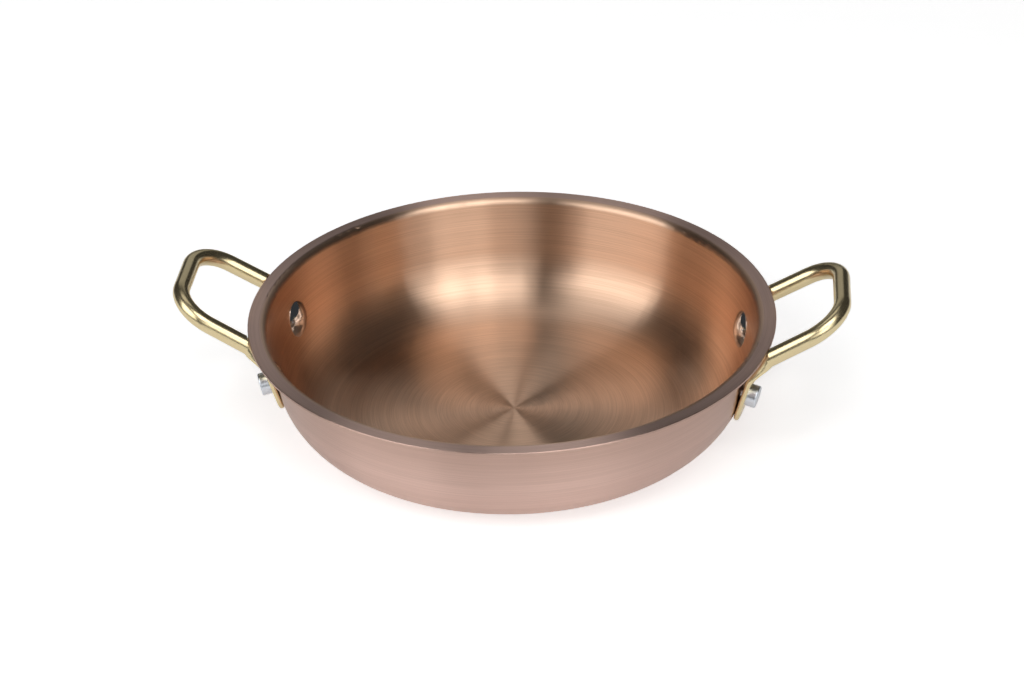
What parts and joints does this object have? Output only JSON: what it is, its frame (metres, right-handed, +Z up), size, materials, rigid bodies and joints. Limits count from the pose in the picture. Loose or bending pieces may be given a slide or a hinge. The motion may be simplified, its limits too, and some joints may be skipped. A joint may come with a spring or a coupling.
{
  "type": "casserole pan",
  "caption": "Round shallow copper casserole pan with a flared rim and upright-angled brass wire loop handles riveted on opposite sides.",
  "frame": {"origin": "middle of the flat base's underside, where the pan rests", "axes": "+Z up through the middle of the pan, +X out through the right handle, +Y to the rear"},
  "size_m": [0.2544, 0.2, 0.0594],
  "materials": {
    "copper": "satin copper, brushed in circles about the middle",
    "brass": "polished pale brass",
    "rivet_steel": "polished steel"
  },
  "bodies": {
    "root": {"pan_body": "copper", "handle_left": "brass", "handle_right": "brass", "rivet_left_front": "rivet_steel", "rivet_left_rear": "rivet_steel", "rivet_right_front": "rivet_steel", "rivet_right_rear": "rivet_steel"}
  },
  "joints": []
}
